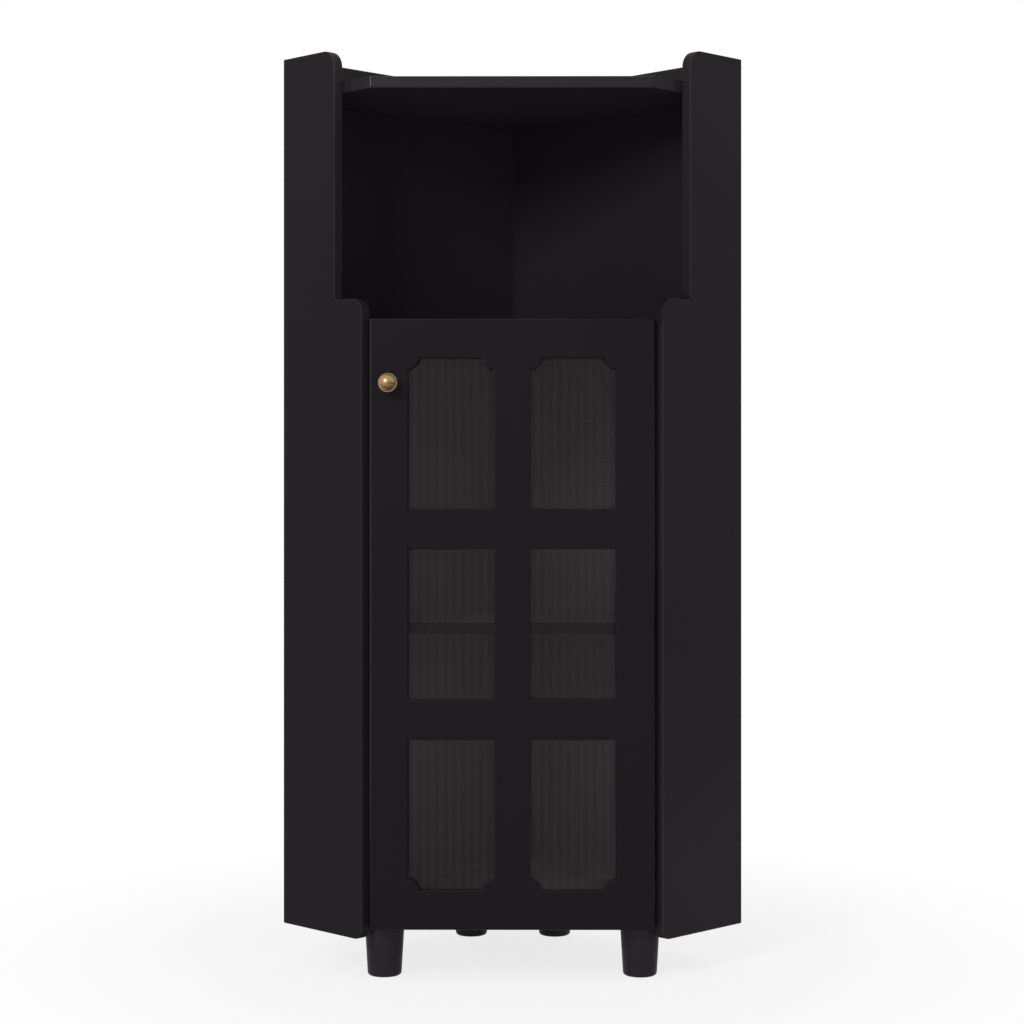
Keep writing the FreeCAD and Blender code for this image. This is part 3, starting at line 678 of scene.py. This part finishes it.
# Door frame: one 15 mm board with six windows routed through it, their outer corners scooped, and a rebate
# behind for the glass. It has the same black lacquer as the panels, with painted highlights on some edges and
# painted shade on others, and four painted beads hold the glass from behind.
def door_arris_highlight(tree, place, normal):
    """The rounded outer edges of the door's face, from its free edge to about two thirds of its width: a
    painted highlight.
    """
    top_share = 0.45
    slope = reach(tree, normal, to_front)
    rounded = both(tree, grown(tree, slope, 0.10, 0.45), grown(tree, slope, 0.985, 0.93))
    top = both(tree, reached(tree, place, up, start=0.832, full=0.836), top_share)
    side = both(tree, reached(tree, place, to_left, start=0.1745, full=0.1770),
                reached(tree, place, up, start=0.09, full=0.28))
    outer = worked_out(tree, "MAXIMUM", top, side)
    lamp_side = reached(tree, place, to_left, start=-0.16, full=-0.04)
    return both(tree, both(tree, rounded, outer), lamp_side)


def lit_sill(tree, place, normal):
    """The upward edges of the windows, painted lighter as light from above."""
    upwards = reached(tree, normal, up, start=0.35, full=0.70)
    return both(tree, upwards, reached(tree, place, up, start=0.802, full=0.798))


def shaded_arris(tree, place, normal):
    """The windows' left edges, painted near black as shade in the left column."""
    rightwards = reached(tree, normal, to_right, start=0.30, full=0.60)
    return both(tree, rightwards, reached(tree, place, to_right, start=0.0, full=-0.09))


def lit_mullion_edge(tree, place, normal):
    """The left edge of the upright bar between the two columns of windows, painted paler as light from the
    lamp's side.
    """
    leftwards = reached(tree, normal, to_left, start=0.15, full=0.50)
    by_mullion = reached(tree, unsigned(tree, place), to_right, start=0.060, full=0.040)
    return both(tree, leftwards, by_mullion)


to_left = (-1, 0, 0)
# Painted light and shade: highlights on the lamp's side of the door and its sills, shade on the windows' left
# edges.
door_tone, window_edge_shade_tone, mullion_edge_lit_tone = (0.0092, 0.0072, 0.0092, 1), warm_black(0.0010), warm_black(0.0170)
door_arris_highlight_tone, sill_light_tone = (0.029, 0.025, 0.029, 1), (0.015, 0.0125, 0.0145, 1)
door_black = black_lacquer("door_black", door_tone, sheen_loss=0.38, mottle=0.10)
toned(door_black, door_tone, (door_arris_highlight_tone, door_arris_highlight), (sill_light_tone, lit_sill),
      (window_edge_shade_tone, shaded_arris), (mullion_edge_lit_tone, lit_mullion_edge))
dress(door_black, "door_frame")
bead_black = black_lacquer("bead_black", (0.0110, 0.0090, 0.0110, 1), sheen_loss=0.42, mottle=0.12)
dress(bead_black, "glass_bead_left", "glass_bead_right", "glass_bead_top", "glass_bead_bottom")
dress(plated_steel, "glass_bead_pins")


# Fluted glass: one sheet of rolled glass with 25 upright reeds on its face, tinted a faint tea colour.
# It lies in the door's rebate, with its reeds against the lips of all six windows.
def tea_glass(reed_pitch):
    material, tree, shader = blank_finish("reeded_tea_glass")
    shader.inputs["Transmission Weight"].default_value = 1.0
    shader.inputs["IOR"].default_value = 1.222
    shader.inputs["Specular Tint"].default_value = (1.0, 0.86, 0.92, 1)
    place = tree.nodes.new("ShaderNodeTexCoord").outputs["Object"]
    cloud = noise_in(tree, place, scale=14.0, detail=2.0)
    tree.links.new(about(tree, 0.20, cloud, 0.06), shader.inputs["Roughness"])
    # Painted light: the tint is paler on each reed's crest, shifted towards the lamp's side, and darker in
    # its valley.
    across, lamp_side_shift = reach(tree, place, to_right), 0.45
    turns = worked_out(tree, "MULTIPLY_ADD", across, 2 * math.pi / reed_pitch, lamp_side_shift)
    crest = grown(tree, worked_out(tree, "COSINE", turns), -1.0, 1.0)
    valley_shade_tint, crest_lit_tint = (0.81, 0.78, 0.79, 1), (0.915, 0.885, 0.895, 1)
    tree.links.new(blended(tree, crest, valley_shade_tint, crest_lit_tint), shader.inputs["Base Color"])
    clear = tree.nodes.new("ShaderNodeBsdfTransparent")
    clear.inputs["Color"].default_value = (0.30, 0.29, 0.29, 1)
    lamp_or_eye = tree.nodes.new("ShaderNodeMixShader")
    tree.links.new(tree.nodes.new("ShaderNodeLightPath").outputs["Is Shadow Ray"], lamp_or_eye.inputs[0])
    tree.links.new(shader.outputs[0], lamp_or_eye.inputs[1])
    tree.links.new(clear.outputs[0], lamp_or_eye.inputs[2])
    tree.links.new(lamp_or_eye.outputs[0], tree.nodes["Material Output"].inputs["Surface"])
    return material


glass_root, glass_back, reed_depth = -0.1849198, -0.1818198, 0.0009
glass_low, glass_high, glass_half = 0.1095, 0.7962, 0.1385
reed_count, reed_cuts = 25, 11
reed_pitch = 2 * glass_half / reed_count
first_reed_x = -(reed_count - 1) / 2 * reed_pitch
fluted_sheet = start_piece(
    "fluted_sheet", bpy.ops.mesh.primitive_cube_add, size=1,
    location=(first_reed_x, (glass_root + glass_back) / 2, (glass_low + glass_high) / 2),
    scale=(reed_pitch, glass_back - glass_root, glass_high - glass_low))
bpy.ops.object.mode_set(mode="EDIT")
pick(fluted_sheet, "EDGE", lambda middle, way: abs(way.x) > 0.9)
bpy.ops.mesh.subdivide(number_cuts=reed_cuts)
reed_curve_r = ((reed_pitch / 2) ** 2 + reed_depth ** 2) / (2 * reed_depth)
for step in range(1, reed_cuts + 1):
    off_crest = reed_pitch * (step / (reed_cuts + 1) - 0.5)
    rise = math.sqrt(reed_curve_r ** 2 - off_crest ** 2) - reed_curve_r + reed_depth
    pick(fluted_sheet, "VERT", lambda place, way: abs(place.x - first_reed_x - off_crest) < hair and
         place.y < (glass_root + glass_back) / 2)
    bpy.ops.transform.translate(value=(0, -rise, 0))
pick(fluted_sheet, "FACE", lambda middle, way: abs(way.x) > 0.99)
bpy.ops.mesh.delete(type="FACE")
bpy.ops.object.mode_set(mode="OBJECT")
row = fluted_sheet.modifiers.new("row_of_reeds", "ARRAY")
row.count, row.use_relative_offset, row.use_constant_offset = reed_count, False, True
row.constant_offset_displace = (reed_pitch, 0, 0)
row.use_merge_vertices, row.merge_threshold = True, hair
bpy.ops.object.modifier_apply(modifier=row.name)
bpy.ops.object.mode_set(mode="EDIT")
for side in (-1, 1):
    end_x = side * glass_half
    pick(fluted_sheet, "EDGE", lambda middle, way: abs(middle.x - end_x) < hair and abs(way.x) < 0.1)
    bpy.ops.mesh.edge_face_add()
bpy.ops.mesh.select_all(action="SELECT")
bpy.ops.mesh.normals_make_consistent(inside=False)
bpy.ops.object.mode_set(mode="OBJECT")
soften(fluted_sheet, 30)
fluted_sheet.data.materials.append(tea_glass(reed_pitch))
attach(fluted_sheet, "door")
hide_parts("fluted_glass")

# Knob: a solid brass ball on a short neck, turned in one piece, tarnished to a brown gold in front that is
# painted darker towards the bottom, with a lighter, less metallic band painted round its sides and a pale
# right rim painted as reflection. One pan-head screw through the door holds it from behind.
ball_r, waist_r, lip, neck_r = 0.0121, 0.0063, 0.93, 0.0055
knob_x, knob_y, knob_z, door_front_y, door_back_y = -0.1560, -0.210367, 0.7570, -0.1928198, -0.1778198
brass_knob = start_piece("brass_knob", bpy.ops.mesh.primitive_uv_sphere_add, segments=72, ring_count=48,
                         radius=ball_r, location=(knob_x, knob_y, knob_z), rotation=(math.pi / 2, 0, 0))
waist_y = knob_y + math.sqrt(ball_r ** 2 - waist_r ** 2)
bpy.ops.object.mode_set(mode="EDIT")
bpy.ops.mesh.select_all(action="SELECT")
bpy.ops.mesh.bisect(plane_co=(knob_x, waist_y, knob_z), plane_no=to_corner, use_fill=True, clear_outer=True)
neck_steps = ((0.0003, lip), (0.0005, neck_r / waist_r / lip), (0.0030, 1.0))
neck_left = door_front_y - waist_y - sum(length for length, narrowing in neck_steps)
for length, narrowing in neck_steps + ((neck_left, 1.0),):
    pick(brass_knob, "FACE", lambda middle, way: way.y > 0.99 and abs(middle.x - knob_x) < near)
    bpy.ops.mesh.extrude_region_move(TRANSFORM_OT_translate={"value": (0, length, 0)})
    bpy.ops.transform.resize(value=(narrowing, 1, narrowing), center_override=(knob_x, waist_y, knob_z))
bpy.ops.mesh.select_all(action="SELECT")
bpy.ops.mesh.remove_doubles(threshold=0.000001)
bpy.ops.mesh.normals_make_consistent(inside=False)
bpy.ops.object.mode_set(mode="OBJECT")
soften(brass_knob, 40)


def aged_and_painted_brass():
    material, tree, shader = blank_finish("aged_and_painted_brass")
    surface = tree.nodes.new("ShaderNodeTexCoord")
    normal = surface.outputs["Normal"]
    flat = tree.nodes.new("ShaderNodeMapping")
    flat.inputs["Scale"].default_value = (1.0, 1.0, 2.6)
    tree.links.new(surface.outputs["Object"], flat.inputs["Vector"])
    tarnish = noise_in(tree, flat.outputs["Vector"], scale=105.0, detail=3.0)
    # Painted shade: the tarnish turns darker as the normal turns down, towards the bottom of the ball.
    height = reached(tree, normal, (-0.3, 0, 0.95), start=-1.25, full=0.9)
    colours = tree.nodes.new("ShaderNodeValToRGB")
    colours.color_ramp.elements[0].position, colours.color_ramp.elements[1].position = 0.30, 0.68
    colours.color_ramp.elements[0].color = (0.095, 0.046, 0.014, 1)
    colours.color_ramp.elements[1].color = (0.380, 0.255, 0.130, 1)
    tree.links.new(about(tree, height, tarnish, 1.0), colours.inputs["Fac"])
    # Painted light and reflection: a band round the sides gets a lighter gold and less metal, the right rim a
    # pale tone.
    turned_to_front = reach(tree, normal, to_front)
    front_half = grown(tree, turned_to_front, -0.10, 0.12)
    held = both(tree, grown(tree, turned_to_front, 0.72, 0.50), front_half)
    right_side = reached(tree, normal, (0.9, 0, -0.3), start=-0.75, full=0.1)
    rim = both(tree, both(tree, grown(tree, turned_to_front, 0.46, 0.34), front_half), right_side)
    side_band_tone, rim_reflection_tone = (0.30, 0.19, 0.085, 1), (0.90, 0.77, 0.56, 1)
    tarnish_and_band = blended(tree, held, colours.outputs["Color"], side_band_tone)
    tree.links.new(blended(tree, rim, tarnish_and_band, rim_reflection_tone), shader.inputs["Base Color"])
    lustre = tree.nodes.new("ShaderNodeMapRange")
    lustre.inputs["To Min"].default_value, lustre.inputs["To Max"].default_value = 1.0, 0.50
    tree.links.new(held, lustre.inputs["Value"])
    tree.links.new(lustre.outputs[0], shader.inputs["Metallic"])
    tree.links.new(about(tree, 0.31, tarnish, -0.10), shader.inputs["Roughness"])
    return material


brass_knob.data.materials.append(aged_and_painted_brass())
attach(brass_knob, "door")
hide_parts("knob")
knob_head, knob_head_r, knob_shank_r, knob_shank, pan_round = 0.0025, 0.004, 0.002, 0.025, 0.0012
widening = knob_head_r / knob_shank_r
pan_screw = start_piece("pan_screw", bpy.ops.mesh.primitive_cylinder_add, vertices=32, radius=knob_shank_r,
                        depth=knob_shank, location=(0, 0, -knob_head - knob_shank / 2))
bpy.ops.object.mode_set(mode="EDIT")
pick(pan_screw, "FACE", lambda middle, way: way.z > 0.9)
bpy.ops.mesh.extrude_region_move(TRANSFORM_OT_translate={"value": (0, 0, hair)})
bpy.ops.transform.resize(value=(widening, widening, 1), center_override=(0, 0, 0))
bpy.ops.mesh.extrude_region_move(TRANSFORM_OT_translate={"value": (0, 0, knob_head - hair)})
pick(pan_screw, "EDGE", lambda middle, way: abs(way.z) < 0.1 and middle.z > -hair)
bpy.ops.mesh.bevel(offset=pan_round, segments=5)
bpy.ops.object.mode_set(mode="OBJECT")
cut_away(pan_screw, cross_cutter(width=0.0011, length=0.0046, depth=0.0018))
soften(pan_screw, 35)
knob_fixing = set_copies(pan_screw, "knob_fixing", [((knob_x, door_back_y + knob_head, knob_z), to_corner)])
knob_fixing.data.materials.append(plated_steel)
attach(knob_fixing, "door")
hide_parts("knob_screw")

# Strike and bumpers: a thin plated plate, held by one countersunk screw, that the catch's magnet draws to it,
# and two soft clear domes at the free edge that meet the boards as the door shuts.
dress(hinge_steel, "strike_plate")
strike_x, strike_back_y, strike_z = -0.1415, -0.17662, 0.8152
strike_screw = cross_screw(head_r=0.00275, head=0.0012, shank_r=0.0015, length=0.0102)
strike_fixing = set_copies(strike_screw, "strike_fixing", [((strike_x, strike_back_y, strike_z), to_corner)])
strike_fixing.data.materials.append(plated_steel)
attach(strike_fixing, "door")
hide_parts("strike_screw")
dome_r, dome_height, dome_round, dome_x = 0.004, 0.0032, 0.0021, -0.1695
dome_pattern = start_piece("dome_pattern", bpy.ops.mesh.primitive_cylinder_add, vertices=32, radius=dome_r,
                           depth=dome_height, location=(0, 0, dome_height / 2))
bpy.ops.object.mode_set(mode="EDIT")
pick(dome_pattern, "EDGE", lambda middle, way: abs(way.z) < 0.1 and middle.z > 0.9 * dome_height)
bpy.ops.mesh.bevel(offset=dome_round, segments=6)
bpy.ops.object.mode_set(mode="OBJECT")
soften(dome_pattern, 40)
bumper_domes = set_copies(dome_pattern, "bumper_domes",
                          [((dome_x, door_back_y, z), to_corner) for z in board_middles[:2]])
soft_rubber, rubber_tree, rubber_shader = blank_finish("clear_rubber")
rubber_shader.inputs["Base Color"].default_value = (0.74, 0.74, 0.71, 1)
rubber_shader.inputs["Transmission Weight"].default_value = 0.6
rubber_shader.inputs["IOR"].default_value = 1.4
rubber_place = rubber_tree.nodes.new("ShaderNodeTexCoord").outputs["Object"]
rubber_bloom = noise_in(rubber_tree, rubber_place, scale=900.0, detail=2.0)
rubber_tree.links.new(about(rubber_tree, 0.32, rubber_bloom, 0.2), rubber_shader.inputs["Roughness"])
bumper_domes.data.materials.append(soft_rubber)
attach(bumper_domes, "door")
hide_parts("door_bumpers")


# Studio: a pale round floor, a white backdrop and one soft lamp, with the camera where the photograph was
# taken from. The floor turns to plain white towards its rim, so that its edge doesn't show.
def seen(tree):
    """1 for what the eye sees, also in a mirror image or through glass, and 0 for light on the object."""
    path = tree.nodes.new("ShaderNodeLightPath")
    looked_at = path.outputs["Is Camera Ray"]
    for kind in ("Is Glossy Ray", "Is Transmission Ray"):
        looked_at = worked_out(tree, "MAXIMUM", looked_at, path.outputs[kind])
    return looked_at


def pale_floor():
    material, tree, shader = blank_finish("pale_floor")
    shader.inputs["Base Color"].default_value = (0.86, 0.86, 0.86, 1)
    shader.inputs["Roughness"].default_value = 0.9
    shader.inputs["Specular IOR Level"].default_value = 0.0
    glow = tree.nodes.new("ShaderNodeEmission")
    glow.inputs["Strength"].default_value = 1.0
    distance = tree.nodes.new("ShaderNodeVectorMath")
    distance.operation = "LENGTH"
    tree.links.new(tree.nodes.new("ShaderNodeTexCoord").outputs["Object"], distance.inputs[0])
    rim = tree.nodes.new("ShaderNodeMapRange")
    rim.interpolation_type = "SMOOTHSTEP"
    shadow_r, white_r, least_white = 0.30, 0.95, 0.80
    rim.inputs["From Min"].default_value, rim.inputs["From Max"].default_value = shadow_r, white_r
    rim.inputs["To Min"].default_value = least_white
    tree.links.new(distance.outputs["Value"], rim.inputs["Value"])
    blend = tree.nodes.new("ShaderNodeMixShader")
    tree.links.new(both(tree, seen(tree), rim.outputs[0]), blend.inputs[0])
    tree.links.new(shader.outputs[0], blend.inputs[1])
    tree.links.new(glow.outputs[0], blend.inputs[2])
    tree.links.new(blend.outputs[0], tree.nodes["Material Output"].inputs["Surface"])
    return material


floor_r = 1.5
bpy.ops.object.select_all(action="DESELECT")
bpy.ops.mesh.primitive_circle_add(vertices=96, radius=floor_r, fill_type="NGON", location=(0, 0, 0))
floor = bpy.context.active_object
floor.name = "studio_floor"
floor.data.materials.append(pale_floor())

sky_left, sky_right = 0.28, 0.72
sky_front, sky_back = 1.0, 0.80
sky_below, sky_above = 0.85, 0.58
studio = bpy.data.worlds.new("studio")
bpy.context.scene.world = studio
studio.use_nodes = True
sky = studio.node_tree
sky_axes = sky.nodes.new("ShaderNodeSeparateXYZ")
sky.links.new(sky.nodes.new("ShaderNodeTexCoord").outputs["Generated"], sky_axes.inputs[0])
sky_level = 0.0
for axis, low, high in (("X", sky_left, sky_right), ("Y", sky_front, sky_back), ("Z", sky_below, sky_above)):
    way = sky_axes.outputs[axis]
    level = sky.nodes.new("ShaderNodeMix")
    sky.links.new(worked_out(sky, "GREATER_THAN", way, 0.0), level.inputs["Factor"])
    level.inputs["A"].default_value, level.inputs["B"].default_value = low, high
    sky_level = worked_out(sky, "MULTIPLY_ADD", both(sky, way, way), level.outputs["Result"], sky_level)
backdrop = sky.nodes.new("ShaderNodeMix")
sky.links.new(seen(sky), backdrop.inputs["Factor"])
sky.links.new(sky_level, backdrop.inputs["A"])
backdrop.inputs["B"].default_value = 1.0
sky_light = sky.nodes["Background"]
sky_light.inputs["Color"].default_value = (1, 1, 1, 1)
sky.links.new(backdrop.outputs["Result"], sky_light.inputs["Strength"])

lamp_place, lamp_target = Vector((-1.45, -2.70, 2.02)), Vector((0, 0, 0.75))
lamp_width, lamp_height, lamp_watts = 1.0, 0.85, 44.0
softbox = bpy.data.lights.new("key_softbox", "AREA")
softbox.shape = "RECTANGLE"
softbox.size, softbox.size_y, softbox.energy = lamp_width, lamp_height, lamp_watts
lamp_stand = bpy.data.objects.new("key_softbox", softbox)
bpy.context.collection.objects.link(lamp_stand)
lamp_aim = lamp_target - lamp_place
lamp_tilt = math.atan2(math.hypot(lamp_aim.x, lamp_aim.y), -lamp_aim.z)
lamp_stand.location = lamp_place
lamp_stand.rotation_euler = (lamp_tilt, 0, -math.atan2(lamp_aim.x, lamp_aim.y))
lamp_stand.visible_transmission = False

lens_px, eye_x, eye_back, eye_turn, eye_z, horizon_px = 2231.6, 0.01181, 2.8282, 0.00424, 0.6462, 470.96
picture_px, sensor_mm = 1024, 36.0
front_line_y = -0.1763198
camera_data = bpy.data.cameras.new("photo_camera")
camera_data.sensor_width = sensor_mm
camera_data.lens = lens_px * sensor_mm / picture_px
camera_data.shift_y = (horizon_px - picture_px / 2) / picture_px
camera = bpy.data.objects.new("photo_camera", camera_data)
bpy.context.collection.objects.link(camera)
camera.location = (eye_x, front_line_y - eye_back, eye_z)
camera.rotation_euler = (math.pi / 2, 0, eye_turn)
bpy.context.scene.camera = camera
bpy.context.scene.view_settings.view_transform = "Standard"
